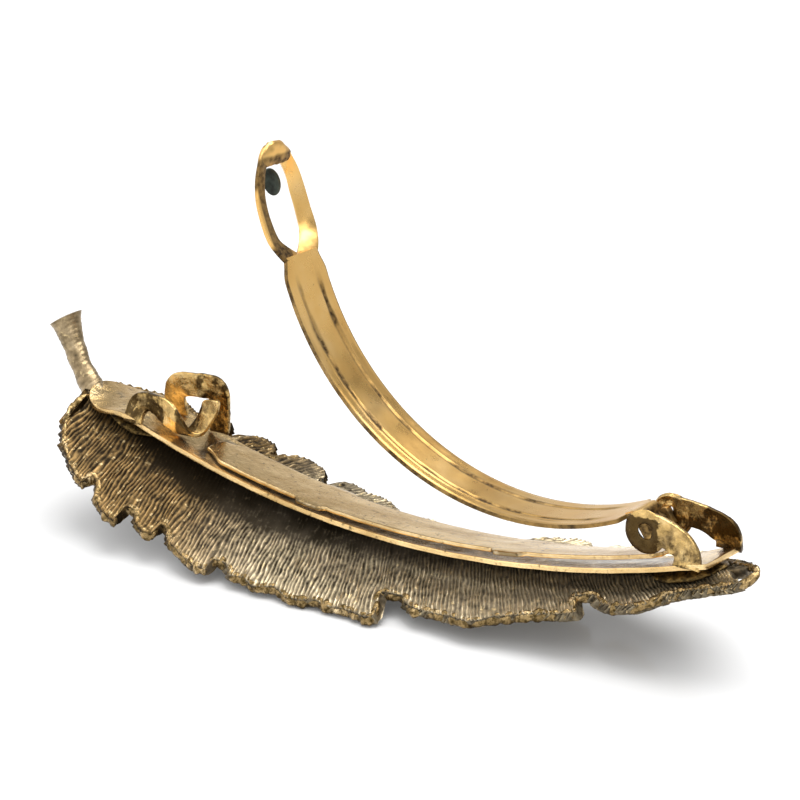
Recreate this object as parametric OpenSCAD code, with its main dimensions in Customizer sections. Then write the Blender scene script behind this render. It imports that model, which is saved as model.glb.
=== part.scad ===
// Feather barrette: a cast feather ornament on a sprung hair clip with a looped arm.
// X runs along the clip from the catch (-X) to the hinge (+X), Y across it, Z up.
// The origin is the middle of the base plate's underside. The feather's face is down.

/* [Feather] */
// Depth of the feather's back below the base plate, at the shaft
back_drop = 0.8; // [0.5:0.1:1.2]
// Thickness of the cast vanes
vane_t = 1.4; // [1:0.1:2]
// Fall of the near vane per millimetre of width
near_fall = 0.45; // [0.3:0.05:0.6]
// Fall of the far vane per millimetre of width
far_fall = 0.14; // [0:0.02:0.3]
// Half width of the shaft between the vanes
shaft_half = 1.2; // [0.8:0.1:1.6]

/* [Base plate] */
// Radius of the base plate's underside, seen from the side
bow_r = 128.7; // [120:0.1:140]
// Width of the base plate
base_w = 8.1; // [7:0.1:9]
// Thickness of the base plate
base_t = 0.8; // [0.6:0.1:1]
// Hinge end of the base plate
base_right = 40.3; // [39.5:0.1:41]
// Centre of the round tongue beyond the catch
tongue_x = -42.4; // [-43:0.1:-42]

/* [Catch] */
// Outer end of the catch ears
catch_left = -38; // [-38.2:0.1:-37.8]
// Length of a catch ear
catch_l = 8.2; // [8:0.1:8.4]
// Length of a catch ear from the line it is folded on to its top
catch_h = 6.5; // [6.3:0.1:6.7]
// Inward lean of the catch ears, in degrees
catch_lean = 18; // [17:1:19]
// Thickness of the folded ears
ear_t = 0.8; // [0.6:0.1:0.9]

/* [Hinge] */
// Hinge axis along the clip
hinge_x = 32; // [31.5:0.1:32.5]
// Hinge axis above the origin
hinge_z = 8.6; // [8.4:0.1:8.8]
// Outer radius of the boss round the hinge hole
boss_r = 2.4; // [2.2:0.1:2.5]
// Radius of the hinge holes
hole_r = 1.17; // [1.15:0.01:1.2]
// Radius of the rounded edges of the arm's lugs
lug_r = 1.1; // [1.05:0.01:1.1]
// Inner face of a hinge ear from the middle of the clip
hinge_ear_y = 2.55; // [2.5:0.05:2.8]

/* [Arm] */
// Width of the arm
arm_w = 7.3; // [6.8:0.1:7.6]
// Thickness of the arm
arm_t = 0.6; // [0.5:0.05:0.7]
// Radius of the free arm's bend
arm_r = 32.2; // [32:0.1:32.4]
// Turn of each of the four lengths of the arm, in degrees
arm_turn = 25.8; // [25.5:0.1:26]
// Width of the gap at each flexing line of the arm
flex_gap = 0.22; // [0.2:0.01:0.26]
// Outer width of the loop
loop_w = 9.7; // [9.4:0.1:10]
// Inner width of the loop
loop_hole_w = 6.4; // [6.4:0.1:6.6]

/* [Tension bar] */
// Width of the tension bar
bar_w = 6.2; // [5.8:0.1:6.6]
// Thickness of the tension bar
bar_t = 0.6; // [0.5:0.05:0.7]
// Lift of the free tension bar, in degrees
bar_lift = 0.7; // [0.65:0.05:0.8]

/* [Hidden] */
$fn = 96;
fine = 720;                    // facets of the large bow
eps_gap = 0.12;                // clearance under the parts that flex
feather_left = -47.5;
feather_right = 45.6;
arm_centre = [15.5, 38.5];     // centre of the arm's bend in XZ
arm_start = -62.5;             // angle of the arm's root about that centre
arm_wide_from = 2.1;           // degrees of the root that stay narrow, between the bosses
root_half = 2.3;               // half width of the narrow root
loop_angle = 110;              // direction of the loop from +X, in degrees
loop_l = 13;
loop_hole_l = 10.6;
loop_hole_u = 1.7;             // start of the loop's hole
bar_left = -29;
bar_neck = 28.4;               // from here the bar is narrow, to pass between the hinge ears
bar_right = 34;
bar_end_w = 4.6;
bar_tabs = [-12.5, 15];          // places of the tension bar's side tabs
gold = [0.80, 0.62, 0.33];
antique = [0.55, 0.43, 0.26];

// Outline of the near half, from the stem to the tip and back along the shaft.
near_edge = [[-47, -1.2], [-48, -3], [-48.1, -5], [-47.2, -7], [-45.4, -9.2], [-43, -10.7],
    [-40.2, -11.8], [-39.6, -10.3], [-38.6, -10.8], [-37.8, -12.3], [-35.6, -13.4], [-33.6, -13.7],
    [-33.6, -11.3], [-32.4, -11.2], [-31.4, -12.4], [-29.8, -13.1], [-28.6, -12.8], [-28.4, -11.1],
    [-27.4, -11.3], [-26.6, -12.4], [-24, -13.2], [-21.4, -13.8], [-19.8, -13.6], [-19.7, -12],
    [-18, -11.9], [-16.6, -13], [-14.9, -12.6], [-13.4, -13.2], [-12, -12.7], [-10.6, -12.3],
    [-8.6, -12.9], [-6.6, -12.7], [-5, -12], [-3.2, -12.3], [-1.2, -12], [0.4, -12.1], [2, -12.4],
    [3, -12], [2.6, -10.2], [1.6, -8.7], [4.4, -8.3], [5.4, -9.2], [6.6, -9.7], [9, -9.6],
    [11.6, -9.7], [14.2, -9.9], [15.4, -9.5], [16.6, -8.9], [19, -8.3], [21.4, -7.6], [24, -7.4],
    [26.4, -7.1], [25.6, -5.6], [24.6, -4.8], [26.8, -4.4], [28.4, -5.5], [30, -6], [33, -5.9],
    [35.2, -4.5], [37.6, -3.8], [40.4, -2.9], [43, -2.5], [45.4, -1.9], [45.6, -1.2]];
// Outline of the far half, from the tip to the stem.
far_edge = [[45, 1.2], [43.6, 2.6], [41.6, 4.2], [38.6, 6.3], [36.4, 6.6], [35.4, 8.2], [32.6, 9.4],
    [29.8, 9.8], [28.4, 8.4], [27, 9.9], [23.6, 11.2], [21, 11], [19, 8.4], [18.2, 10.7],
    [16.2, 11.4], [13.4, 10.8], [11.4, 9.8], [9.2, 7.8], [7.4, 9.4], [4.8, 9], [2.2, 7.2],
    [-0.6, 8.6], [-3.8, 8.4], [-5.2, 6.8], [-6.8, 8.6], [-9.6, 9.4], [-13.2, 10.2], [-16, 10.1],
    [-18.6, 8.4], [-20, 10.3], [-22, 11.2], [-24.6, 11.1], [-26.4, 9], [-27.4, 10.4], [-29.2, 11],
    [-31.2, 10.3], [-32.2, 7.6], [-33.4, 8.4], [-34.6, 10.2], [-36.4, 10], [-38.2, 8],
    [-40.4, 8.6], [-43, 7], [-45.8, 4.6], [-47.2, 2.6], [-47, 1.2]];
// Centre line of the stem: point and radius at each bend.
stem = [[[-47, 0, 7], 1.5], [[-49.6, 0.6, 8.2], 1.4], [[-52.1, 1.5, 10.4], 1.4],
    [[-54.6, 2.6, 14.2], 1.9]];

// Turns an outline drawn in X and Z into a solid between two Y values.
module side_profile(y0, y1) {
    rotate([90, 0, 0])
        translate([0, 0, -y1])
            linear_extrude(y1 - y0) children();
}

// Sector of the plane between two angles less than a half turn apart.
module wedge(a0, a1, reach) {
    middle = (a0 + a1) / 2;
    far = reach / cos((a1 - a0) / 2);
    polygon([[0, 0], reach * [cos(a0), sin(a0)], far * [cos(middle), sin(middle)],
        reach * [cos(a1), sin(a1)]]);
}

// Section of a ring, for a curved strip of sheet seen from the side.
module ring_part(r_in, r_out, a0, a1, facets = 360) {
    intersection() {
        difference() {
            circle(r = r_out, $fn = facets);
            circle(r = r_in, $fn = facets);
        }
        wedge(a0, a1, r_out * 1.2);
    }
}

// Everything inside a radius of the bow's axis, that is above a curved surface.
module above_bow(height) {
    translate([0, 0, bow_r])
        rotate([90, 0, 0])
            cylinder(r = bow_r - height, h = 60, center = true, $fn = fine);
}

// A strip bowed like the base plate, from one X to another, bottom to top.
module bowed_strip(x0, x1, width, bottom, thick) {
    intersection() {
        difference() {
            above_bow(bottom);
            above_bow(bottom + thick);
        }
        translate([x0, -width / 2, -10]) cube([x1 - x0, width, 40]);
    }
}

// Ring of revolution about the bow's axis, drawn by its section in Y and height.
module bowed_section(points) {
    translate([0, 0, bow_r])
        rotate([-90, 0, 0])
            rotate_extrude($fn = fine)
                polygon([for (p = points) [bow_r - p[1], p[0]]]);
}

module plan_cut(points) {
    translate([0, 0, -14]) linear_extrude(40) polygon(points);
}

module feather_near_vane() {
    color(antique)
        intersection() {
            bowed_section([[-shaft_half, -back_drop],
                [-15, -back_drop - near_fall * (15 - shaft_half)],
                [-15, -back_drop - vane_t - near_fall * (15 - shaft_half)],
                [-shaft_half, -back_drop - vane_t]]);
            plan_cut(near_edge);
        }
}

module feather_far_vane() {
    color(antique)
        intersection() {
            bowed_section([[shaft_half, -back_drop],
                [13, -back_drop - far_fall * (13 - shaft_half)],
                [13, -back_drop - vane_t - far_fall * (13 - shaft_half)],
                [shaft_half, -back_drop - vane_t]]);
            plan_cut(far_edge);
        }
}

// Shaft of the feather: a rib that stands out of its decorated face.
module feather_shaft() {
    rib = 1.3;
    color(antique)
        intersection() {
            bowed_section([[-shaft_half, -back_drop], [shaft_half, -back_drop],
                [shaft_half, -back_drop - vane_t], [0.6, -back_drop - vane_t - rib],
                [-0.6, -back_drop - vane_t - rib], [-shaft_half, -back_drop - vane_t]]);
            translate([feather_left, -5, -14]) cube([45 - feather_left, 10, 40]);
        }
}

module stem_length(from, to) {
    step = to[0] - from[0];
    length = norm(step);
    translate(from[0])
        rotate([0, acos(step[2] / length), atan2(step[1], step[0])])
            cylinder(r1 = from[1], r2 = to[1], h = length);
}

module feather_stem() {
    color(antique)
        intersection() {
            union() {
                for (i = [0:2]) stem_length(stem[i], stem[i + 1]);
                for (i = [1:2]) translate(stem[i][0]) sphere(r = stem[i][1]);
            }
            translate([feather_left - 20, -10, 0]) cube([20, 20, 30]);
        }
}

module base_plate() {
    color(gold)
        intersection() {
            bowed_strip(-50, base_right, base_w, 0, base_t);
            union() {
                translate([tongue_x, -base_w / 2, -10]) cube([base_right - tongue_x, base_w, 40]);
                translate([tongue_x, 0, -10]) cylinder(d = base_w, h = 40);
            }
        }
}

module solder_catch_end() {
    color(gold) bowed_strip(-45, -34, 2 * shaft_half, -back_drop, back_drop);
}

module solder_hinge_end() {
    color(gold) bowed_strip(29, 39, 2 * shaft_half, -back_drop, back_drop);
}

// One hinge ear: a boss at the top of a band that curls up from the plate's end.
module hinge_ear(side) {
    band = [35.4, 6.6];
    y0 = side > 0 ? hinge_ear_y : -hinge_ear_y - ear_t;
    intersection() {
        difference() {
            side_profile(y0, y0 + ear_t)
                union() {
                    translate([hinge_x, hinge_z]) circle(r = boss_r);
                    translate(band) ring_part(1.9, 4.5, -8, 72);
                    translate(band) ring_part(1.9, 4.5, 70, 150);
                }
            translate([hinge_x, 0, hinge_z])
                rotate([90, 0, 0])
                    cylinder(r = hole_r, h = 20, center = true);
        }
        above_bow(base_t);
    }
}

module hinge_ear_near() {
    color(gold) hinge_ear(-1);
}

module hinge_ear_far() {
    color(gold) hinge_ear(1);
}

// One catch ear: a leg at the outer end, an arched top and a tip that hangs free.
module catch_ear(side) {
    eye_r = 1.5;
    corner = 1.6;
    tip_gap = 1.8;
    leg = 2.8;
    foot_z = 4.9;
    intersection() {
        translate([catch_left, side * base_w / 2, foot_z])
            rotate([side * catch_lean, 0, 0])
                side_profile(side > 0 ? -ear_t : 0, side > 0 ? 0 : ear_t)
                    difference() {
                        union() {
                            square([leg, catch_h - corner]);
                            translate([0, tip_gap]) square([catch_l, catch_h - corner - tip_gap]);
                            translate([corner, 0]) square([catch_l - 2 * corner, catch_h]);
                            for (x = [corner, catch_l - corner])
                                translate([x, catch_h - corner]) circle(r = corner);
                        }
                        translate([leg + eye_r, 3.4]) circle(r = eye_r);
                        translate([leg, -1]) square([2 * eye_r, 4.4]);
                        translate([leg, -1]) square([catch_l, 1 + tip_gap]);
                    }
        above_bow(base_t + eps_gap);
    }
}

module catch_ear_near() {
    color(gold) catch_ear(-1);
}

module catch_ear_far() {
    color(gold) catch_ear(1);
}

// The tension bar lies along the base plate, held at the catch end and free at the other.
module tension_bar() {
    pivot_z = bow_r - sqrt(bow_r * bow_r - bar_left * bar_left) + base_t;
    lie = base_t + eps_gap;
    color(gold)
        translate([bar_left, 0, pivot_z])
            rotate([0, -bar_lift, 0])
                translate([-bar_left, 0, -pivot_z])
                    union() {
                        bowed_strip(bar_left, bar_neck, bar_w, lie, bar_t);
                        bowed_strip(bar_neck - 1, bar_right, bar_end_w, lie, bar_t);
                        for (x = bar_tabs) bowed_strip(x - 1.8, x + 1.8, bar_w + 1.3, lie, bar_t);
                    }
}

// A length of the arm between two angles of its bend, counted on from the root.
module arm_length(from, to, width) {
    translate([arm_centre[0], 0, arm_centre[1]])
        side_profile(-width / 2, width / 2)
            ring_part(arm_r - arm_t / 2, arm_r + arm_t / 2, arm_start - to, arm_start - from);
}

// Half of the flexing gap, as an angle of the arm's bend.
half_gap = flex_gap / 2 / arm_r * 180 / PI;

module arm_root_strip() {
    color(gold)
        union() {
            arm_length(arm_wide_from, arm_turn - half_gap, arm_w);
            arm_length(0, arm_wide_from + 0.5, 2 * root_half);
            side_profile(-root_half, root_half)
                polygon([[30.2, 10.25], [31.3, 10.4], [32.6, 9.6], [33, 8.3], [32.2, 7.6],
                    [31.6, 8.2], [31.7, 9], [31, 9.5], [30.4, 9.6]]);
        }
}

// The two flat lugs of the arm's root, one in each hinge hole.
module arm_hinge_lugs() {
    lug_t = 1.1;
    lug_tilt = 55;
    color(gold)
        for (side = [-1, 1])
            translate([hinge_x, side * (root_half + hinge_ear_y + ear_t + 0.15) / 2, hinge_z])
                intersection() {
                    rotate([90, 0, 0])
                        cylinder(r = lug_r, h = hinge_ear_y + ear_t + 0.15 - root_half,
                            center = true);
                    rotate([0, lug_tilt, 0]) cube([4, 4, lug_t], center = true);
                }
}

module arm_second_strip() {
    color(gold) arm_length(arm_turn + half_gap, 2 * arm_turn - half_gap, arm_w);
}

module arm_third_strip() {
    color(gold) arm_length(2 * arm_turn + half_gap, 3 * arm_turn - half_gap, arm_w);
}

module arm_end_strip() {
    color(gold) arm_length(3 * arm_turn + half_gap, 4 * arm_turn, arm_w);
}

// Places its children at the arm's end, with X along the loop and Z away from the hinge.
module at_loop() {
    end_angle = arm_start - 4 * arm_turn;
    translate([arm_centre[0] + arm_r * cos(end_angle), 0, arm_centre[1] + arm_r * sin(end_angle)])
        rotate([0, -loop_angle, 0]) children();
}

module round_box(length, width, r) {
    translate([0, -width / 2 + r]) square([length, width - 2 * r]);
    translate([r, -width / 2]) square([length - 2 * r, width]);
    for (x = [r, length - r], y = [-1, 1]) translate([x, y * (width / 2 - r)]) circle(r = r);
}

module arm_loop() {
    neck_w = 5.6;
    color(gold)
        at_loop()
            translate([0, 0, -arm_t / 2])
                linear_extrude(arm_t)
                    difference() {
                        union() {
                            translate([0.05, -neck_w / 2]) square([2, neck_w]);
                            translate([0.6, 0]) round_box(loop_l, loop_w, 3.6);
                        }
                        translate([loop_hole_u, 0]) round_box(loop_hole_l, loop_hole_w, 1.5);
                    }
}

// The tip of the loop, folded back over itself on the side of the hinge.
module loop_tip_fold() {
    color(gold)
        at_loop()
            union() {
                translate([12.35, -1.9, -arm_t / 2 - 0.6]) cube([2, 3.8, 0.6]);
                translate([13.6, -1.9, -arm_t / 2]) cube([0.75, 3.8, arm_t]);
            }
}

// The small round tongue that the fold leaves inside the loop's hole.
module loop_tongue() {
    color("darkslategray")
        at_loop()
            translate([0, 0, -0.25])
                union() {
                    translate([10.6, 0, 0]) cylinder(r = 1.1, h = 0.5);
                    translate([10.6, -1.1, 0]) cube([1.69, 2.2, 0.5]);
                }
}

feather_near_vane();
feather_far_vane();
feather_shaft();
feather_stem();
base_plate();
solder_catch_end();
solder_hinge_end();
hinge_ear_near();
hinge_ear_far();
catch_ear_near();
catch_ear_far();
tension_bar();
arm_root_strip();
arm_hinge_lugs();
arm_second_strip();
arm_third_strip();
arm_end_strip();
arm_loop();
loop_tip_fold();
loop_tongue();
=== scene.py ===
"""A feather barrette, open, lying with its cast face down: the finished look of its parts."""

import math

import bpy
import numpy as np
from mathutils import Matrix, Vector, noise


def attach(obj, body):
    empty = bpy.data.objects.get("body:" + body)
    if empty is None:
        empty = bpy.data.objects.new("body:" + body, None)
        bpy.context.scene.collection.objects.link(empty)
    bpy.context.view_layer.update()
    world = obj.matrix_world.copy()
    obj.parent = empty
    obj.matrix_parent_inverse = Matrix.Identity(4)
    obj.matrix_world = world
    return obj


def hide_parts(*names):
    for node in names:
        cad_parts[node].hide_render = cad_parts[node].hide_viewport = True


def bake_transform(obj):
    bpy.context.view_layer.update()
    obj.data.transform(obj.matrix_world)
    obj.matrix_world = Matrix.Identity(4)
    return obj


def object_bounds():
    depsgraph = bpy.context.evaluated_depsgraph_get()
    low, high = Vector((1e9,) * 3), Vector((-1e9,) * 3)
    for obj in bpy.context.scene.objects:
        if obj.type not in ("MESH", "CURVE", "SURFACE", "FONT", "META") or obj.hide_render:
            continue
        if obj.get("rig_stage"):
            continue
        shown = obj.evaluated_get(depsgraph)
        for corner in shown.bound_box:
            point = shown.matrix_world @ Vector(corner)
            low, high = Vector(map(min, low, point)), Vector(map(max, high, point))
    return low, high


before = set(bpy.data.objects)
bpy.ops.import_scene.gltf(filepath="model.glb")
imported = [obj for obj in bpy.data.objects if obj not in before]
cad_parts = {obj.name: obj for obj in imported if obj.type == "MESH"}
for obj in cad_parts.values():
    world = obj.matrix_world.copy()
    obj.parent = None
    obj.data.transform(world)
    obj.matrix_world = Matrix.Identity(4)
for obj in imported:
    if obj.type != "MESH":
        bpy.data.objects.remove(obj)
CAD_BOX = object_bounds()

bl_info = {
    "name": "Feather barrette",
    "version": (1, 0, 0),
    "blender": (4, 5, 0),
    "location": "3D View > Sidebar > Barrette",
    "description": "Builds the cast feather, the bowed base and the sprung arm of a barrette",
    "category": "Object",
}

MM = 0.001
METRE = 1000

# Points nearer than this are merged, in metres: at a tube's ends, and along a seam
MERGE = 2e-5
MERGE_SEAM = 2e-6

# Grid of a vane: fine enough along the shaft to carve each barb
VANE_GRID = (1400, 24)

# Shared places of the clip, in millimetres, in the frame of the parts
BOW_R = 128.7
BASE_T = 0.8
BACK_DROP = 0.8
SHAFT_HALF = 1.2
NEAR_FALL = 0.45
FAR_FALL = 0.14
HINGE = (32.0, 8.6)
ARM_CENTRE = (15.5, 38.5)
ARM_R = 32.2
ARM_START = -62.5
ARM_TURN = 25.8
LOOP_ANGLE = 110.0

# Plan outlines of the vanes: the near one from the stem to the tip, the far one back again
NEAR_EDGE = [
    (-47, -1.2), (-48, -3), (-48.1, -5), (-47.2, -7), (-45.4, -9.2), (-43, -10.7),
    (-40.2, -11.8), (-39.6, -10.3), (-38.6, -10.8), (-37.8, -12.3), (-35.6, -13.4), (-33.6, -13.7),
    (-33.6, -11.3), (-32.4, -11.2), (-31.4, -12.4), (-29.8, -13.1), (-28.6, -12.8), (-28.4, -11.1),
    (-27.4, -11.3), (-26.6, -12.4), (-24, -13.2), (-21.4, -13.8), (-19.8, -13.6), (-19.7, -12),
    (-18, -11.9), (-16.6, -13), (-14.9, -12.6), (-13.4, -13.2), (-12, -12.7), (-10.6, -12.3),
    (-8.6, -12.9), (-6.6, -12.7), (-5, -12), (-3.2, -12.3), (-1.2, -12), (0.4, -12.1), (2, -12.4),
    (3, -12), (2.6, -10.2), (1.6, -8.7), (4.4, -8.3), (5.4, -9.2), (6.6, -9.7), (9, -9.6),
    (11.6, -9.7), (14.2, -9.9), (15.4, -9.5), (16.6, -8.9), (19, -8.3), (21.4, -7.6), (24, -7.4),
    (26.4, -7.1), (25.6, -5.6), (24.6, -4.8), (26.8, -4.4), (28.4, -5.5), (30, -6), (33, -5.9),
    (35.2, -4.6), (37.6, -4.0), (40.4, -3.6), (42.6, -3.6), (44.2, -3.3), (45.1, -2.6),
    (45.3, -1.7), (44.8, -0.9), (43.6, 0.0),
]
FAR_EDGE = [
    (44.6, -0.8), (43.4, 0.3), (41.6, 1.6), (39.8, 3.0), (37.6, 4.6), (36.0, 6.0),
    (35.2, 8.2), (32.6, 9.4), (29.8, 9.8), (28.4, 8.4), (27, 9.9),
    (23.6, 11.2), (21, 11), (19, 8.4), (18.6, 9.2),
    (17.4, 10.8), (15.4, 11.4), (13, 11.3), (11.2, 10), (9.8, 7.2), (8.6, 5.4), (6, 6.4), (3, 6.6),
    (0.6, 6), (-0.6, 6.5), (-2.4, 7.5), (-3.8, 7.4), (-4.9, 5.4), (-6.4, 5.6), (-6.9, 7.2),
    (-8.8, 8.6), (-11.2, 9.5), (-12.8, 8.9), (-13.9, 9.7), (-15.8, 10.1), (-17, 8.4), (-17.6, 5.8),
    (-18.4, 6.2), (-19, 8.6), (-20.6, 10.7), (-23, 11.5), (-25, 11), (-26.2, 9.6), (-26.6, 7.6),
    (-27.2, 9.4), (-28.4, 11), (-30.2, 11.4), (-31.6, 10.8), (-32.2, 8.6), (-32.4, 6.6),
    (-33.4, 8.4), (-34.6, 10.2), (-36.4, 10), (-38.2, 8),
    (-40.4, 8.6), (-43, 7), (-45.8, 4.6), (-47.2, 2.6), (-47, 1.2),
]

# The fold where the near vane cups down from under the plate, and where its painted shade ends: places
# along, distance from the shaft
FOLD_X = [-46, -40, -35, -30, -25, -19, -12, -5, 1, 11, 20, 32, 35]
FOLD_Y = [1.6, 3.6, 5.2, 6.4, 6.6, 6.9, 6.1, 5.0, 4.0, 3.0, 2.6, 2.2, 0.0]


# ---------------------------------------------------------------- shared helpers


def choose(piece):
    """Selects one object alone and makes it the active one."""
    bpy.ops.object.select_all(action="DESELECT")
    piece.select_set(True)
    bpy.context.view_layer.objects.active = piece


def in_edit_mode(work):
    """Runs one step of work in edit mode on everything in the active piece."""
    bpy.ops.object.mode_set(mode="EDIT")
    bpy.ops.mesh.select_all(action="SELECT")
    work()
    bpy.ops.object.mode_set(mode="OBJECT")


def modify(piece, kind, **settings):
    """Adds a modifier with its settings and applies it."""
    choose(piece)
    bpy.ops.object.modifier_add(type=kind)
    modifier = piece.modifiers[-1]
    for key, value in settings.items():
        setattr(modifier, key, value)
    bpy.ops.object.modifier_apply(modifier=modifier.name)


def outward(piece):
    """Turns every face of a closed piece outwards."""
    choose(piece)
    in_edit_mode(lambda: bpy.ops.mesh.normals_make_consistent(inside=False))


def coordinates(piece):
    """The points of a piece, in millimetres."""
    flat = np.empty(len(piece.data.vertices) * 3)
    piece.data.vertices.foreach_get("co", flat)
    return flat[0::3] / MM, flat[1::3] / MM, flat[2::3] / MM


def put_points(piece, x, y, z):
    """Moves the points of a piece to new places, in millimetres."""
    flat = np.empty(len(piece.data.vertices) * 3)
    flat[0::3], flat[1::3], flat[2::3] = x * MM, y * MM, z * MM
    piece.data.vertices.foreach_set("co", flat)
    piece.data.update()


def reshape(piece, move):
    """Moves every point of a piece by move(x, y, z), which takes and returns millimetre arrays."""
    put_points(piece, *move(*coordinates(piece)))


def sheet(name, columns, rows, place, closed=False):
    """Adds a grid and lays it where place(u, v) says, in millimetres."""
    bpy.ops.object.select_all(action="DESELECT")
    bpy.ops.mesh.primitive_grid_add(x_subdivisions=columns, y_subdivisions=rows, size=2)
    piece = bpy.context.object
    piece.name = name
    flat = np.empty(len(piece.data.vertices) * 3)
    piece.data.vertices.foreach_get("co", flat)
    put_points(piece, *place((flat[0::3] + 1) / 2, (flat[1::3] + 1) / 2))
    if closed:
        in_edit_mode(lambda: bpy.ops.mesh.remove_doubles(threshold=MERGE_SEAM))
    return piece


def thicken(piece, thick, offset, bevel=0.0):
    """Gives a sheet its thickness in millimetres and, where asked, rounds its edges."""
    modify(piece, "SOLIDIFY", thickness=thick * MM, offset=offset)
    if bevel:
        modify(piece, "BEVEL", width=bevel * MM, segments=2, limit_method="ANGLE",
               angle_limit=math.radians(50))
    outward(piece)


def seal(piece, gap=MERGE):
    """Merges the seams of a tube or ball, closes what stays open and turns its faces outwards."""
    choose(piece)
    in_edit_mode(lambda: bpy.ops.mesh.remove_doubles(threshold=gap))
    in_edit_mode(lambda: bpy.ops.mesh.fill_holes(sides=60))
    outward(piece)


def through(stations, u):
    """A smooth curve through rows of numbers, at u from 0 to 1."""
    table = np.array(stations, float)
    last = len(table) - 1
    at = np.clip(u, 0, 1) * last
    low = np.minimum(at.astype(int), last - 1)
    t = (at - low)[:, None]
    a, b = table[np.maximum(low - 1, 0)], table[low]
    c, d = table[low + 1], table[np.minimum(low + 2, last)]
    return b + 0.5 * t * (c - a + t * (2 * a - 5 * b + 4 * c - d + t * (3 * (b - c) + d - a)))


def ribbon(name, stations, thick, columns, rows, round_end=False):
    """A strip of sheet along stations of (x, y, z, its width's direction, half width)."""

    def place(u, v):
        row = through(stations, u)
        side = row[:, 3:6] / np.linalg.norm(row[:, 3:6], axis=1)[:, None]
        half = row[:, 6]
        if round_end:
            half = half * np.sqrt(np.clip(1 - np.clip((u - 0.92) / 0.08, 0, 1) ** 4, 0.02, 1))
        out = (2 * v - 1) * half
        return tuple(row[:, k] + side[:, k] * out for k in range(3))

    piece = sheet(name, columns, rows, place)
    thicken(piece, thick, 0)
    return piece


def fuse(pieces, name, voxel, rounds):
    """Joins closed pieces into one skin, with its corners melted as plating and handling do."""
    choose(pieces[0])
    for piece in pieces[1:]:
        piece.select_set(True)
    if len(pieces) > 1:
        bpy.ops.object.join()
    piece = bpy.context.object
    piece.name = name
    modify(piece, "REMESH", mode="VOXEL", voxel_size=voxel * MM)
    modify(piece, "SMOOTH", factor=0.5, iterations=rounds)
    return piece


def forged_copy(node, name, voxel, rounds):
    """Copies a part's shape, with its corners melted, and returns the copy."""
    choose(bpy.data.objects[node])
    bpy.ops.object.duplicate()
    piece = bpy.context.object
    for key in list(piece.keys()):
        if key.startswith("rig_"):
            del piece[key]
    in_edit_mode(lambda: bpy.ops.mesh.remove_doubles(threshold=MERGE_SEAM))
    return fuse([piece], name, voxel, rounds)


def lumps(x, y, z, size, seed=0.0):
    """Smooth noise from about -1 to 1, with bumps about size millimetres across."""
    points = np.stack([x / size + seed, y / size, z / size - seed], axis=-1)
    return np.array([noise.noise(Vector(p)) for p in points])


def paint(piece, name, values):
    """Stores one number per point, for a material to read."""
    layer = piece.data.attributes.get(name) or piece.data.attributes.new(name, "FLOAT", "POINT")
    layer.data.foreach_set("value", np.asarray(values, dtype=np.float32))


def finish(piece, material, nodes, body=None, bend=None, angle=40):
    """Smooths a piece and gives it its material; attaches it to its body, or given a bend bakes its
    place into its points; hides the parts it stands for.
    """
    choose(piece)
    bpy.ops.object.shade_smooth_by_angle(angle=math.radians(angle))
    piece.data.materials.clear()
    piece.data.materials.append(material)
    if bend:
        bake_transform(piece)
    else:
        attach(piece, body)
    if nodes:
        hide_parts(*nodes)


def smooth_step(low, high, value):
    """Rises smoothly from 0 to 1 as the value goes from low to high, or falls if low is higher."""
    t = np.clip((value - low) / (high - low), 0, 1)
    return t * t * (3 - 2 * t)


def bow(x, height):
    """Z of a surface a given height above the base plate's underside."""
    return BOW_R - np.sqrt((BOW_R - height) ** 2 - x * x)


def back_height(y, fall):
    """How high the feather's back lies, falling away from the shaft, before its relief."""
    return -BACK_DROP - fall * (np.abs(y) - SHAFT_HALF)


def mm(length):
    """A size from the settings in millimetres, rid of the rounding of its storage."""
    return round(length / MM, 4)


# ---------------------------------------------------------------- materials


def colour(code):
    """A linear colour from an sRGB hex value."""
    parts = [int(code[i : i + 2], 16) / 255 for i in (0, 2, 4)]
    return [c / 12.92 if c <= 0.04045 else ((c + 0.055) / 1.055) ** 2.4 for c in parts] + [1.0]


def shade(base, *ratios):
    """A lighter or darker shade of a linear colour: its red, green and blue times the ratios."""
    return [part * ratio for part, ratio in zip(base, ratios)] + [1.0]


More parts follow.
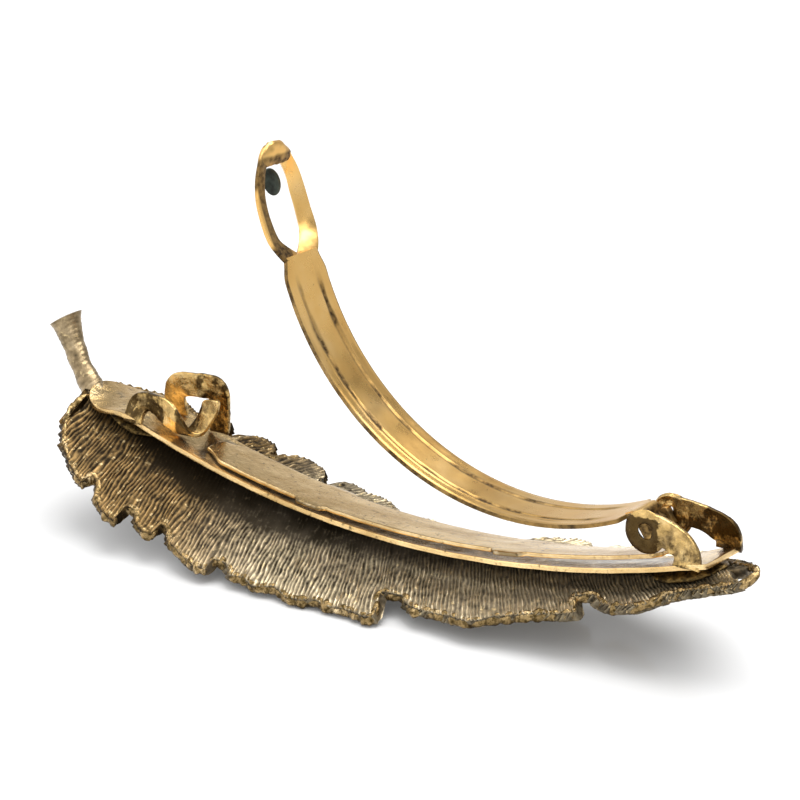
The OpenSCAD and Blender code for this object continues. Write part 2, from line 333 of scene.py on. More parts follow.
class NodeTree:
    """The nodes of a material or a world, which end in the shader that is there already."""

    def __init__(self, owner, shader, space):
        owner.use_nodes = True
        self.owner = owner
        self.tree = owner.node_tree
        self.shader = self.tree.nodes[shader]
        self.place = self.add("TexCoord", out=space)

    def add(self, kind, inputs=None, out=0, stops=(), **settings):
        """Adds a node with its settings, a ramp's stops and its links, and returns one output."""
        node = self.tree.nodes.new("ShaderNode" + kind)
        for key, value in settings.items():
            setattr(node, key, value)
        while stops and len(node.color_ramp.elements) < len(stops):
            node.color_ramp.elements.new(0.5)
        for index, (position, tint) in enumerate(stops):
            if isinstance(tint, str):
                tint = colour(tint)
            elif isinstance(tint, float):
                tint = [tint, tint, tint, 1.0]
            node.color_ramp.elements[index].position = position
            node.color_ramp.elements[index].color = tint
        self.fill(node, inputs or {})
        return node.outputs[out]

    def fill(self, node, inputs):
        """Sets a node's inputs, and links those whose value is another node's output."""
        for key, value in inputs.items():
            if isinstance(value, bpy.types.NodeSocket):
                self.tree.links.new(value, node.inputs[key])
            else:
                node.inputs[key].default_value = value

    def end(self, **inputs):
        """Fills the shader, and returns the finished material or world."""
        self.fill(self.shader, {key.replace("_", " "): value for key, value in inputs.items()})
        return self.owner

    def patches(self, size_mm, detail, rough, stops, stretch=(1.0, 1.0, 1.0)):
        """Patches about size_mm across: cloudy noise, cut at the stops of a ramp."""
        where = self.add("Mapping", {"Vector": self.place, "Scale": stretch})
        cloud = {"Vector": where, "Scale": METRE / size_mm, "Detail": detail, "Roughness": rough}
        return self.add("ValToRGB", {"Fac": self.add("TexNoise", cloud)}, stops=stops)

    def pits(self, size_mm, detail, rough, depth_mm, strength):
        """A pitted surface: cloudy noise about size_mm across, as a bump depth_mm deep."""
        where = self.place
        cloud = {"Vector": where, "Scale": METRE / size_mm, "Detail": detail, "Roughness": rough}
        height = self.add("TexNoise", cloud)
        return self.add("Bump", {"Height": height, "Distance": depth_mm * MM, "Strength": strength})

    def lay(self, under, mask, strength, over):
        """Lays one colour over another where the mask is light, as strongly as strength says."""
        factor = self.add("Math", {0: mask, 1: strength}, operation="MULTIPLY")
        return self.add("Mix", {0: factor, 6: under, 7: over}, out=2, data_type="RGBA")


def surface(name):
    """An empty material, whose patterns follow the piece's own coordinates."""
    return NodeTree(bpy.data.materials.new(name), "Principled BSDF", "Object")


def antique_plated_zinc_casting(tones):
    """Zinc casting, brass plated, blackened and wiped: dark hollows, bare brass on the ribs, painted
    glints, and the painted shade that the relief map carries.
    """
    s = surface("antique_plated_zinc_casting")
    # The relief map: the barbs, and the painted shade near the shaft
    relief = s.add("Attribute", out="Fac", attribute_name="relief")
    cloud = {"Vector": s.place, "Scale": METRE / 0.8, "Detail": 5.0, "Roughness": 0.65}
    uneven = {0: s.add("TexNoise", cloud), 1: 0.9, 2: relief}
    worn = {0: s.add("Math", uneven, operation="MULTIPLY_ADD"), 1: 0.45}
    worn = {"Fac": s.add("Math", worn, operation="SUBTRACT")}
    tone = s.add("ValToRGB", worn, stops=[
        (0.12, tones.casting_hollows), (0.34, "7A705C"), (0.60, "B0A488"), (0.92, tones.casting_ribs)])
    stain_and_shade = s.patches(7.0, 3.0, 0.55, [(0.40, 0.0), (0.62, 1.0)])
    tone = s.lay(tone, stain_and_shade, 0.35, colour("8F8270"))
    brown = s.add("ValToRGB", worn, stops=[(0.2, "1E1506"), (0.8, "7E6236")])
    tone = s.lay(tone, s.add("Attribute", out="Fac", attribute_name="brown"), 0.95, brown)
    glint = s.patches(0.9, 6.0, 0.7, [(0.58, 0.0), (0.66, 1.0)])
    on_ribs = s.add("ValToRGB", {"Fac": relief}, stops=[(0.2, 0.0), (0.4, 0.5)])
    tone = s.lay(tone, glint, on_ribs, colour("F3D9A2"))
    rough = s.add("ValToRGB", worn, stops=[(0.1, 0.66), (0.6, 0.40), (1.0, 0.24)])
    pits = s.pits(0.38, 5.0, 0.65, 0.06, 0.8)
    return s.end(Base_Color=tone, Metallic=0.9, Roughness=rough, Normal=pits)


def wiped_brass_rim(tones):
    """The casting's beaded rim, where wiping has bared the brass between dark pits."""
    s = surface("wiped_antique_brass_rim")
    relief = s.add("Attribute", out="Fac", attribute_name="relief")
    bare = s.patches(0.5, 6.0, 0.68, [(0.40, 0.0), (0.56, 1.0)])
    tone = s.patches(2.2, 3.0, 0.55, [
        (0.3, shade(tones.rim_brass, 0.5104, 0.4962, 0.4383)), (0.55, tones.rim_brass),
        (0.75, shade(tones.rim_brass, 1.8769, 2.1290, 2.8422))])
    tone = s.lay(colour("45371A"), bare, 1.0, tone)
    high = s.add("ValToRGB", {"Fac": relief}, stops=[(0.1, 0.0), (0.6, 1.0)])
    tone = s.lay(colour("2A1E0C"), high, 1.0, tone)
    rough = s.add("ValToRGB", {"Fac": bare}, stops=[(0.0, 0.50), (1.0, 0.20)])
    pits = s.pits(0.55, 5.0, 0.62, 0.16, 1.0)
    return s.end(Base_Color=tone, Metallic=0.95, Roughness=rough, Normal=pits)


def gold_plated_spring_steel(tones):
    """Rolled spring steel, gold plated and lacquered: even gold, a few specks, and painted shade with
    some dirt in the grooves and at the edges.
    """
    s = surface("gold_plated_spring_steel")
    tone = s.patches(7.0, 3.0, 0.55, [
        (0.3, shade(tones.arm_gold, 0.9120, 0.8593, 0.7833)), (0.5, tones.arm_gold),
        (0.7, shade(tones.arm_gold, 1.0822, 1.1666, 1.4798))])
    specks = s.patches(0.7, 6.0, 0.7, [(0.64, 0.0), (0.70, 1.0)])
    tone = s.lay(tone, specks, 0.5, colour("4E3815"))
    # Painted shade from the piece's map, broken up like dirt: darker, rougher and less metallic
    broken = s.patches(0.55, 5.0, 0.65, [(0.40, 1.0), (0.60, 0.78)])
    groove = s.add("Attribute", out="Fac", attribute_name="groove")
    dirt_and_shade = s.add("Math", {0: groove, 1: broken}, operation="MULTIPLY")
    tone = s.lay(tone, dirt_and_shade, 1.0, tones.grime_and_shade)
    rough = s.patches(3.0, 5.0, 0.55, [(0.3, 0.24), (0.7, 0.34)])
    rough = s.add("Math", {0: dirt_and_shade, 1: 0.3, 2: rough}, operation="MULTIPLY_ADD")
    bare = s.add("Math", {0: dirt_and_shade, 1: -0.25, 2: 1.0}, operation="MULTIPLY_ADD")
    pits = s.pits(0.9, 4.0, 0.55, 0.025, 0.7)
    return s.end(Base_Color=tone, Metallic=bare, Roughness=rough, Normal=pits)


def worn_gilt_sheet(tones):
    """Folded sheet with antique gilding: brown lacquer in patches, gold where it has worn."""
    s = surface("worn_antique_gilt_sheet")
    worn = s.patches(2.8, 6.0, 0.66, [(0.38, 0.0), (0.52, 1.0)])
    gilt = s.patches(1.6, 4.0, 0.55, [
        (0.3, shade(tones.ear_gold, 0.6710, 0.6589, 0.6023)), (0.55, tones.ear_gold),
        (0.8, shade(tones.ear_gold, 1.2919, 1.4582, 1.8823))])
    brown = s.patches(1.0, 6.0, 0.66, [(0.35, "30230E"), (0.5, "6C5838"), (0.7, "A48C60")])
    tone = s.lay(brown, worn, 1.0, gilt)
    # Painted shade from each ear's map, spread by noise and laid on in the grime colour
    groove = s.add("Attribute", out="Fac", attribute_name="groove")
    cloud = {"Vector": s.place, "Scale": METRE / 0.9, "Detail": 6.0, "Roughness": 0.7}
    uneven = {0: s.add("TexNoise", cloud), 1: 1.1, 2: groove}
    spread = s.add("Math", uneven, operation="MULTIPLY_ADD")
    stain_and_shade = s.add("ValToRGB", {"Fac": spread}, stops=[(0.86, 0.0), (1.0, 0.92)])
    tone = s.lay(tone, stain_and_shade, 1.0, tones.grime_and_shade)
    rough = s.add("ValToRGB", {"Fac": worn}, stops=[(0.0, 0.32), (1.0, 0.17)])
    pits = s.pits(1.3, 6.0, 0.66, 0.16, 1.0)
    return s.end(Base_Color=tone, Metallic=0.97, Roughness=rough, Normal=pits)


def gilt_strip(tones):
    """The flat strips of the base: gold plated, duller along its length where it was rubbed."""
    s = surface("rubbed_gilt_strip")
    bright = s.patches(4.0, 6.0, 0.66, [(0.40, 0.0), (0.60, 1.0)], stretch=(0.35, 1.0, 1.0))
    tone = s.lay(tones.strip_wear, bright, 1.0, tones.strip_gold)
    dots = s.patches(0.7, 6.0, 0.7, [(0.57, 0.0), (0.68, 1.0)])
    tone = s.lay(tone, dots, 0.75, colour("3A2910"))
    # Painted shadow under the bar and along its edges, with worn patches near the catch, laid on as
    # dark and pale blotches
    blotch = s.patches(1.5, 6.0, 0.68, [(0.42, "3A3020"), (0.60, "B4A890")])
    tone = s.lay(tone, s.add("Attribute", out="Fac", attribute_name="groove"), 0.92, blotch)
    rough = s.add("ValToRGB", {"Fac": bright}, stops=[(0.0, 0.28), (1.0, 0.15)])
    pits = s.pits(1.2, 6.0, 0.66, 0.09, 0.9)
    return s.end(Base_Color=tone, Metallic=0.97, Roughness=rough, Normal=pits)


def plated_solder():
    """Soft solder run into the joint and plated over: lumpy, grey-brown, with gold spots."""
    s = surface("plated_soft_solder")
    spots = s.patches(0.8, 6.0, 0.7, [(0.40, 0.0), (0.66, 1.0)])
    tone = s.lay(colour("241A0A"), spots, 1.0, colour("80693C"))
    rough = s.add("ValToRGB", {"Fac": spots}, stops=[(0.0, 0.46), (1.0, 0.24)])
    pits = s.pits(0.9, 6.0, 0.66, 0.22, 1.0)
    return s.end(Base_Color=tone, Metallic=0.9, Roughness=rough, Normal=pits)


def dark_grey_green():
    """Dark metal, mottled near black and grey-green."""
    s = surface("dark_grey_green_metal")
    tone = s.patches(1.2, 4.0, 0.55, [(0.35, "15180F"), (0.7, "3A443A")])
    pits = s.pits(0.6, 4.0, 0.55, 0.05, 0.8)
    return s.end(Base_Color=tone, Metallic=0.5, Roughness=0.45, Normal=pits)


# ---------------------------------------------------------------- the feather


def crossing(px, py, dx, dy, outline):
    """Distance along a ray to the outline's nearest side, for arrays of rays from the shaft."""
    best = np.full(px.shape, 1e9)
    for (ax, ay), (bx, by) in zip(outline[:-1], outline[1:]):
        ex, ey = bx - ax, by - ay
        cross = dx * ey - dy * ex
        cross = np.where(np.abs(cross) < 1e-9, 1e-9, cross)
        along = ((ax - px) * ey - (ay - py) * ex) / cross
        part = ((ax - px) * dy - (ay - py) * dx) / cross
        hit = (along > 0.3) & (part >= 0) & (part <= 1)
        best = np.where(hit & (along < best), along, best)
    return np.where(best > 1e8, 0.3, best)


def barb_slant(root):
    """How far a barb leans to the tip for each millimetre of width, growing to the tip."""
    t = np.clip((root + 47) / 92, 0, 1)
    return 0.02 + 0.5 * t + 0.75 * t * t


def vane_shape(side, outline, fall, seed, pitch):
    """Returns place(u, v) of a vane's back: u along the shaft, v from the shaft to the rim."""
    first, last = -47.2, 41.5

    def place(u, v):
        root = first + u * (last - first)
        slant = barb_slant(root)
        length = np.sqrt(1 + slant**2)
        dx, dy = slant / length, side / length
        start_y = np.full(root.shape, side * SHAFT_HALF)
        reach = crossing(root, start_y, dx, dy, outline)
        reach = np.minimum(reach, (45.0 - root) / np.maximum(dx, 0.05))
        far = v * reach
        x = root + dx * far
        y = start_y + dy * far
        wave = lumps(root, far * 0.45, 0 * far, 2.0, seed) * 0.9
        wave = wave + 0.35 * lumps(root, far, 0 * far, 0.9, seed + 2)
        ridge = 0.5 + 0.5 * np.cos(2 * math.pi * (root / pitch + wave))
        broken = lumps(root * 2.2, far * 0.8, 0 * far, 1.0, seed + 13)
        ridge = ridge**1.6 * (0.85 + 0.55 * broken)
        uneven = lumps(x, y, 0 * x, 0.8, seed + 5)
        strong = 0.8 + 0.6 * lumps(x, y, 0 * x, 3.5, seed + 9)
        fold = np.interp(x, FOLD_X, FOLD_Y) + 0.35 * lumps(x, 0 * x, 0 * x, 2.2, 4)
        beyond = np.abs(y) - fold if side < 0 else np.abs(y) - 3.0
        open_part = smooth_step(-2.6, 0.4, beyond) * smooth_step(-3.2, -0.4, beyond)
        depth = (0.20 if side < 0 else 0.30) * strong * (0.25 + 0.75 * open_part)
        height = back_height(y, fall) - 0.12
        dip = 0.35 * smooth_step(0.0, 0.25, v) * smooth_step(0.75, 0.4, v)
        height = height - dip + depth * (ridge - 0.6) + 0.05 * uneven + 0.14 * (open_part - 1)
        curl = 0.35 * smooth_step(0.80, 1.0, v) * (0.4 + 0.8 * lumps(x, y, 0 * x, 3.0, seed + 3))
        height = height + curl
        gilt = 0.22 * smooth_step(0.72, 1.0, v) + 0.10 * smooth_step(-5, 22, x)
        relief = (0.20 if side < 0 else 0.16) + 0.64 * ridge * strong + 0.22 * uneven + gilt
        # Painted shade: between the shaft and the fold (at 3 mm on the far vane) the relief, and with
        # it the colour, is darkened, as where the plate shades the vane. Next to the rim it is halved.
        shaded = 0.20 + 0.80 * open_part
        wall = smooth_step(0.99, 0.97, v)
        place.relief = np.clip(relief, 0, 1.3) * shaded * (0.5 + 0.5 * wall)
        place.brown = 0.25 + 0.75 * smooth_step(-12, -30, x)
        return x, y, bow(x, height)

    return place


def vane(name, side, outline, fall, seed, sizes, material, node):
    """One vane of the casting: barbs carved in its back, thickened towards the decorated face."""
    pitch = mm(sizes.barb_pitch_near if side < 0 else sizes.barb_pitch_far)
    place = vane_shape(side, outline, fall, seed, pitch)
    piece = sheet(name, *VANE_GRID, place)
    paint(piece, "relief", place.relief)
    paint(piece, "brown", place.brown)
    thicken(piece, mm(sizes.casting_thickness), 1 if side < 0 else -1)
    x, y, z = coordinates(piece)
    if np.mean(z - bow(x, back_height(y, fall) - 0.12)) > 0:
        raise RuntimeError("the vane has grown towards the base plate")
    finish(piece, material, [node], "ornament_base", angle=60)


def even_path(points, step):
    """Walks a polyline and returns points a step apart, with its corners eased."""
    points = np.array(points, float)
    gaps = np.hypot(*np.diff(points, axis=0).T)
    run = np.concatenate([[0], np.cumsum(gaps)])
    count = int(run[-1] / step)
    where = np.linspace(0, run[-1], count)
    path = np.stack([np.interp(where, run, points[:, 0]), np.interp(where, run, points[:, 1])], 1)
    for _ in range(3):
        path[1:-1] = (path[:-2] + 2 * path[1:-1] + path[2:]) / 4
    return path


def rim(name, side, outline, fall, seed, lumpy, material):
    """The casting's rim: a bead that follows the vane's outline, more or less lumpy."""
    path = even_path(outline, 0.17)
    count = len(path)
    tangent = np.gradient(path, axis=0)
    tangent /= np.linalg.norm(tangent, axis=1)[:, None]

    def place(u, v):
        index = u * (count - 1)
        low = np.clip(index.astype(int), 0, count - 1)
        px, py = path[low, 0], path[low, 1]
        tx, ty = tangent[low, 0], tangent[low, 1]
        turn = 2 * math.pi * v
        bead = lumps(px, py, 0 * px, 0.85, seed)
        wide = 0.30 + lumpy * (0.12 + 0.34 * bead + 0.16 * lumps(px, py, 0 * px, 2.4, seed + 2))
        tall = 0.40 + lumpy * (0.16 + 0.36 * lumps(px, py, 0 * px, 0.8, seed + 4))
        ends = smooth_step(0, 0.012, u) * smooth_step(0, 0.012, 1 - u)
        wide, tall = wide * ends + 0.01, tall * ends + 0.01
        out = wide * np.cos(turn) - 0.34
        x = px + ty * out
        y = py - tx * out
        height = back_height(y, fall) - 0.55 + tall * np.sin(turn)
        fine = lumps(x, y, height, 0.42, seed + 7)
        height = height + 0.12 * lumpy * fine
        x = x + 0.06 * lumpy * lumps(x, y, height, 0.5, seed + 17)
        place.relief = np.clip(0.55 + 0.25 * np.sin(turn) + 0.3 * bead + 0.4 * fine, 0, 1.2)
        return x, y, bow(x, height)

    piece = sheet(name, count, 16, place)
    paint(piece, "relief", place.relief)
    seal(piece)
    finish(piece, material, [], "ornament_base", angle=70)


def shaft(material):
    """The shaft: flat on the back, a ribbed half round on the decorated face."""

    def place(u, v):
        x = -47.4 + u * 90.6
        turn = 2 * math.pi * v
        narrow = 1 - 0.55 * smooth_step(0.35, 1.0, u)
        wide = 1.35 * narrow + 0.25
        y = wide * np.cos(turn)
        down = np.where(np.sin(turn) < 0, 2.1 * narrow + 0.3, 0.12)
        height = -BACK_DROP - 0.35 + down * np.sin(turn)
        height = height + 0.06 * lumps(x, y, height, 0.8, 3)
        place.relief = np.clip(0.3 + 0.5 * lumps(x, y, height, 0.7, 8), 0, 1.2)
        return x, y, bow(x, height)

    piece = sheet("feather_shaft_rib", 320, 20, place)
    paint(piece, "relief", place.relief)
    paint(piece, "brown", np.full(len(place.relief), 0.6))
    seal(piece, MERGE_SEAM)
    finish(piece, material, ["feather_shaft"], "ornament_base", angle=60)


def stem(material):
    """The quill's bare stem: it leaves the vane, turns up and flares to a cut end."""
    line = np.array([(-46.4, -0.5, 6.6), (-48.0, -0.1, 7.2), (-49.6, 0.4, 8.4), (-51.1, 0.9, 10.0),
                     (-52.5, 1.5, 11.8), (-53.7, 2.0, 13.6), (-54.7, 2.4, 15.3)])
    radii = np.array([1.3, 1.62, 1.5, 1.45, 1.55, 1.85, 2.45])

    def place(u, v):
        at = u * (len(line) - 1)
        steps = np.arange(len(line))
        middle = [np.interp(at, steps, line[:, k]) for k in range(3)]
        ahead = [np.interp(np.minimum(at + 0.4, steps[-1]), steps, line[:, k]) for k in range(3)]
        behind = [np.interp(np.maximum(at - 0.4, 0), steps, line[:, k]) for k in range(3)]
        centre = [(a + 2 * b + c) / 4 for a, b, c in zip(ahead, middle, behind)]
        tx, tz = ahead[0] - behind[0], ahead[2] - behind[2]
        size = np.hypot(tx, tz)
        tx, tz = tx / size, tz / size
        turn = 2 * math.pi * v
        radius = np.interp(at, steps, radii)
        radius = radius * (1 + 0.012 * np.sin(u * 130) + 0.10 * lumps(*centre, 1.4, 6))
        close = smooth_step(-0.001, 0.03, 1 - u)
        radius = radius * (0.25 + 0.75 * close) * (0.02 + 0.98 * smooth_step(0, 0.004, 1 - u))
        across = radius * np.cos(turn)
        x = centre[0] - tz * across
        z = centre[2] + tx * across
        y = centre[1] + radius * 0.86 * np.sin(turn)
        place.relief = np.clip(0.66 + 0.04 * np.sin(u * 130) + 0.3 * lumps(x, y, z, 0.9, 2), 0, 1.2)
        return x, y, z

    piece = sheet("feather_quill_stem", 110, 24, place)
    paint(piece, "relief", place.relief)
    paint(piece, "brown", np.full(len(place.relief), 0.7))
    seal(piece)
    finish(piece, material, ["feather_stem"], "ornament_base", angle=60)


# ---------------------------------------------------------------- the base and its springs


def settle(x, y):
    """How far the soldered plate lies lower in its middle and towards its far edge."""
    tilt = np.interp(x, [-46, -40, -22, -4, 22, 33, 40], [0.1, 0.2, 0.55, 0.95, 1.45, 1.5, 0.5])
    return -0.5 * np.clip(1 - (x / 39) ** 2, 0, 1) - tilt * (y + 4) / 8


def base_plate(sizes, material):
    """The bowed plate: a strip with a round tongue at the catch and a turned-up hinge end."""

    def place(u, v):
        left, right, half = -47.6, 40.2, mm(sizes.plate_width) / 2
        x = left + (right - left) * (0.65 * u + 0.35 * (1 - np.cos(u * math.pi / 2)))
        inside = np.clip(x - left, 0, half)
        width = np.sqrt(np.maximum(half**2 - (half - inside) ** 2, 0.0)) + 0.02
        across = 2 * v - 1
        y = width * across
        edge = np.abs(y) / half
        height = 0.22 + 0.06 * smooth_step(0.80, 1.0, edge)
        hump = -1.3 * smooth_step(-38.5, -46.5, x) - 0.5 * edge**2 * smooth_step(-40.5, -44.0, x)
        lip = -0.15 * smooth_step(36.5, 40.2, x)
        z = bow(x, height + hump + lip) + settle(x, y) + 0.05 * lumps(x, y, 0 * x, 2.5, 4)
        # Painted shadow of the tension bar on the plate; worn patches near the catch end
        under_bar = smooth_step(3.6, 3.1, np.abs(y))
        under_bar = under_bar * smooth_step(-31, -29, x) * smooth_step(35, 33, x)
        worn = smooth_step(0.1, 0.5, lumps(x, y, 0 * x, 1.3, 12)) * smooth_step(-33, -36, x)
        place.groove = np.clip(under_bar * 0.9 + 0.45 * worn, 0, 1)
        return x, y, z

    piece = sheet("base_plate_strip", 260, 20, place)
    paint(piece, "groove", place.groove)
    thicken(piece, mm(sizes.plate_thickness), 1, bevel=0.12)
    finish(piece, material, ["base_plate"], "ornament_base")


def tension_bar(sizes, material):
    """The bowed spring strip on the plate, with a pair of small side tabs at two places."""
    left, right, lift = -29.0, 34.0, math.radians(0.7)
    pivot_z = float(bow(np.array(left), BASE_T))

    def place(u, v):
        x = left + (right - left) * u
        tab = sum(smooth_step(2.3, 1.5, np.abs(x - c)) for c in (-12.5, 15))
        half = mm(sizes.bar_width) / 2 + 0.62 * tab
        half = half - 1.5 * smooth_step(0.055, 0.0, u) - 0.9 * smooth_step(0.985, 1, u)
        y = half * (2 * v - 1)
        edge = np.abs(2 * v - 1)
        height = BASE_T + 0.14 + 0.10 * (1 - edge**2) - 0.10 * tab * smooth_step(0.8, 1, edge)
        z = bow(x, height) + settle(x, y) + 0.03 * lumps(x, y, 0 * x, 2.0, 11)
        dx, dz = x - left, z - pivot_z
        # Painted shade along the bar's edges, where it meets the plate, strongest at the tabs
        place.groove = 0.8 * smooth_step(0.86, 0.98, edge) * (0.3 + 0.7 * tab)
        return (left + dx * math.cos(lift) - dz * math.sin(lift), y,
                pivot_z + dx * math.sin(lift) + dz * math.cos(lift))

    piece = sheet("tension_bar_strip", 260, 22, place)
    paint(piece, "groove", place.groove)
    thicken(piece, mm(sizes.bar_thickness), 1, bevel=0.1)
    finish(piece, material, ["tension_bar"], "tension_spring")


def boss_ring(side):
    """The ring round a hinge hole, pressed a little outwards."""

    def place(u, v):
        turn = 2 * math.pi * u
        radius = 0.98 + 1.42 * v
        y = side * (2.72 + 0.22 * np.sin(math.pi * v))
        return HINGE[0] + 0.2 + radius * np.cos(turn), y, HINGE[1] + radius * np.sin(turn)

    piece = sheet("boss", 72, 8, place, closed=True)
    thicken(piece, 0.6, 0)
    return piece


# Stations of the folded ears: place, direction of the width, half width
HINGE_EAR_NEAR = [
    (33.0, -2.75, 9.1, 0.1, 0, 1, 1.7), (35.0, -2.8, 8.75, 0.3, 0, 0.95, 1.6),
    (36.8, -3.0, 7.9, 0.75, 0, 0.65, 1.65), (37.7, -3.5, 6.9, 1, 0, 0.1, 1.6),
    (37.8, -3.9, 6.0, 1, 0, 0, 1.6),
]
HINGE_EAR_FAR = [
    (32.4, 2.75, 9.0, 0, 0, 1, 1.9), (34.6, 2.8, 9.3, 0, 0, 1, 1.5),
    (36.8, 2.8, 9.0, 0.3, 0, 0.95, 1.5), (38.5, 2.95, 8.2, 0.75, 0, 0.65, 1.75),
    (38.9, 3.35, 6.9, 1, 0, 0, 1.6), (38.7, 3.9, 5.9, 1, 0, 0, 1.6),
]
CATCH_EAR_NEAR = [
    (-38.5, -4.0, 6.1, -1, 0, 0, 1.4), (-38.7, -3.1, 7.4, -1, 0, 0, 1.4),
    (-38.2, -2.3, 8.4, -0.7, 0, 0.7, 1.35), (-36.5, -2.1, 8.4, 0.05, 0, 1, 1.3),
    (-34.9, -2.1, 7.8, 0.6, 0, 0.8, 1.6), (-33.6, -2.2, 6.8, 0.9, 0, 0.45, 1.4),
    (-32.4, -1.7, 5.5, 1, 0, 0.1, 1.2), (-31.5, -0.7, 5.5, 1, 0, 0, 1.2),
    (-30.9, 0.2, 6.7, 1, 0, 0.1, 1.3), (-30.3, 0.75, 8.2, 1, 0, 0.15, 1.35),
    (-30.1, 0.85, 9.5, 1, 0, 0.15, 1.25),
]
CATCH_EAR_FAR = [
    (-37.0, 2.9, 5.7, -1, 0, 0, 1.5), (-36.9, 2.2, 8.2, -1, 0, 0, 1.55),
    (-35.5, 1.6, 10.0, -0.75, 0, 0.7, 1.7), (-33.2, 1.8, 10.45, -0.1, 0, 1, 1.5),
    (-30.9, 2.5, 10.15, 0.7, 0, 0.75, 1.8), (-30.2, 2.65, 8.2, 1, 0, 0, 1.4),
    (-30.7, 3.0, 4.5, 1, 0, 0, 1.4),
]


def ears(sizes, material):
    """The folded ears: hinge ears with a ringed hole, catch ears that curl inwards."""
    for node, body, stations, side, rounded in (
        ("hinge_ear_near", "ornament_base", HINGE_EAR_NEAR, -1, False),
        ("hinge_ear_far", "ornament_base", HINGE_EAR_FAR, 1, False),
        ("catch_ear_near", "near_prong", CATCH_EAR_NEAR, -1, True),
        ("catch_ear_far", "far_prong", CATCH_EAR_FAR, 1, False),
    ):
        parts = [ribbon(node + "_band", stations, mm(sizes.ear_thickness), 120, 12, rounded)]
        if node.startswith("hinge"):
            parts.append(boss_ring(side))
        piece = fuse(parts, node + "_fold", 0.085, 4)

        def dent(x, y, z, side=side):
            return x, y + 0.12 * lumps(x, y, z, 1.5, side * 3.0), z + 0.05 * lumps(x, y, z, 1.1, 9)

        reshape(piece, dent)
        x, y, z = coordinates(piece)
        # Painted light and shade per ear, broken up by noise: darker round the near hinge ear's hole,
        # low on it and at its foot, lighter at the top of the far hinge ear, darker or lighter along
        # the catch ears as they turn
        if node == "catch_ear_far":
            stain_and_shade = 0.10 + 0.28 * smooth_step(-33.8, -32.6, x)
        elif node == "catch_ear_near":
            inward = smooth_step(-35.3, -34.4, x) * smooth_step(-32.9, -33.6, x)
            stain_and_shade = 0.46 - 0.45 * inward - 0.4 * smooth_step(-31.4, -30.9, x)
        elif node == "hinge_ear_far":
            stain_and_shade = 0.46 - 0.25 * smooth_step(9.0, 10.2, z) * smooth_step(37, 34, x)
        else:
            hole = smooth_step(1.7, 1.3, np.hypot(x - HINGE[0] - 0.2, z - HINGE[1]))
            ring = smooth_step(34.4, 33.4, x) * smooth_step(10.6, 9.8, z)
            stain_and_shade = 0.10 + 0.5 * ring + 0.4 * hole + 0.3 * smooth_step(6.6, 5.8, z)
        paint(piece, "groove", np.clip(stain_and_shade + 0.25 * lumps(x, y, z, 1.6, 5), 0, 1))
        finish(piece, material, [node], body, angle=70)


def solder_pads(material):
    """Runs of solder that fill the gap between the feather and the plate at both ends."""
    for name, node, x0, x1, wide in (
        ("solder_run_catch", "solder_catch_end", -45.2, -36.0, 3.4),
        ("solder_run_hinge", "solder_hinge_end", 31.5, 40.6, 2.9),
    ):

        def place(u, v, x0=x0, x1=x1, wide=wide):
            length, turn = (x1 - x0) / 2, 2 * math.pi * v
            polar = math.pi * (u - 0.5)
            x = (x0 + x1) / 2 + length * np.sin(polar)
            y = wide * np.cos(polar) * np.cos(turn)
            height = -0.9 + 0.75 * np.cos(polar) * np.sin(turn) - 0.28 * np.maximum(-y - 1.2, 0)
            height = height + 0.16 * lumps(x, y, height, 1.6, 2)
            return x, y, bow(x, np.minimum(height, -0.02))

        piece = sheet(name, 60, 48, place)
        seal(piece)
        finish(piece, material, [node], "ornament_base", angle=70)


# ---------------------------------------------------------------- the arm


def arm_point(degrees, offset=0.0):
    """A point of the arm's bend in X and Z, degrees on from the root, offset outwards."""
    angle = np.radians(ARM_START - degrees)
    radius = ARM_R + offset
    return ARM_CENTRE[0] + radius * np.cos(angle), ARM_CENTRE[1] + radius * np.sin(angle)


def arm_strip(name, first, last, sizes, material, nodes, bend):
    """One stretch of the arm: thin strip with two pressed grooves that fade at its ends."""
    full = 4 * ARM_TURN
    sunk = 0.24

    def place(u, v):
        along = first + (last - first) * u
        across = 2 * v - 1
        root = smooth_step(1.6, 2.6, along)
        neck = smooth_step(full, full - 5.0, along)
        half = 2.25 + (mm(sizes.arm_width) / 2 - 2.25) * root
        half = half * (0.80 + 0.20 * neck)
        y = half * across
        fade = smooth_step(5, 12, along) * smooth_step(full - 3, full - 10, along)
        press = sum(np.exp(-(((y - c) / 0.17) ** 2)) for c in (-1.9, 1.75)) * fade
        swell = sum(np.exp(-(((y - c) / 0.2) ** 2)) for c in (-2.25, 2.1)) * fade
        lip = 0.05 * smooth_step(0.86, 1.0, np.abs(across))
        offset = 0.10 * press - 0.035 * swell + lip - sunk
        x, z = arm_point(along, offset)
        x = x + 0.02 * lumps(x, y, z, 2.5, 1)
        # Painted shade, flecked like dirt: dark lines along the two grooves, a hairline by the near
        # edge and dark edges, patchy by noise
        stain_and_shade = 0.55 + 0.45 * smooth_step(0.2, 0.6, lumps(x, y, z, 2.5, 7) + 0.4)
        dark_edge = smooth_step(0.955, 0.985, np.abs(across)) * (0.45 + 0.5 * stain_and_shade)
        spread = 0.30 + 0.20 * smooth_step(0.0, 0.5, lumps(x, y * 0.2, z, 4.0, 5) + 0.3)
        line = sum(np.exp(-(((y - c) / spread) ** 4)) for c in (-1.95, 1.8)) * fade
        hairline = np.exp(-(((y + 2.65) / 0.1) ** 4)) * fade
        hairline = hairline * smooth_step(0.0, 0.3, lumps(x, y, z, 3.0, 2))
        place.groove = np.clip(line * stain_and_shade + 0.8 * hairline + dark_edge, 0, 1)
        return x, y, z

    columns = max(int((last - first) * 3.4), 24)
    piece = sheet(name, columns, 84, place)
    paint(piece, "groove", place.groove)
    thicken(piece, mm(sizes.arm_thickness), 1)
    finish(piece, material, nodes, bend=bend, angle=45)


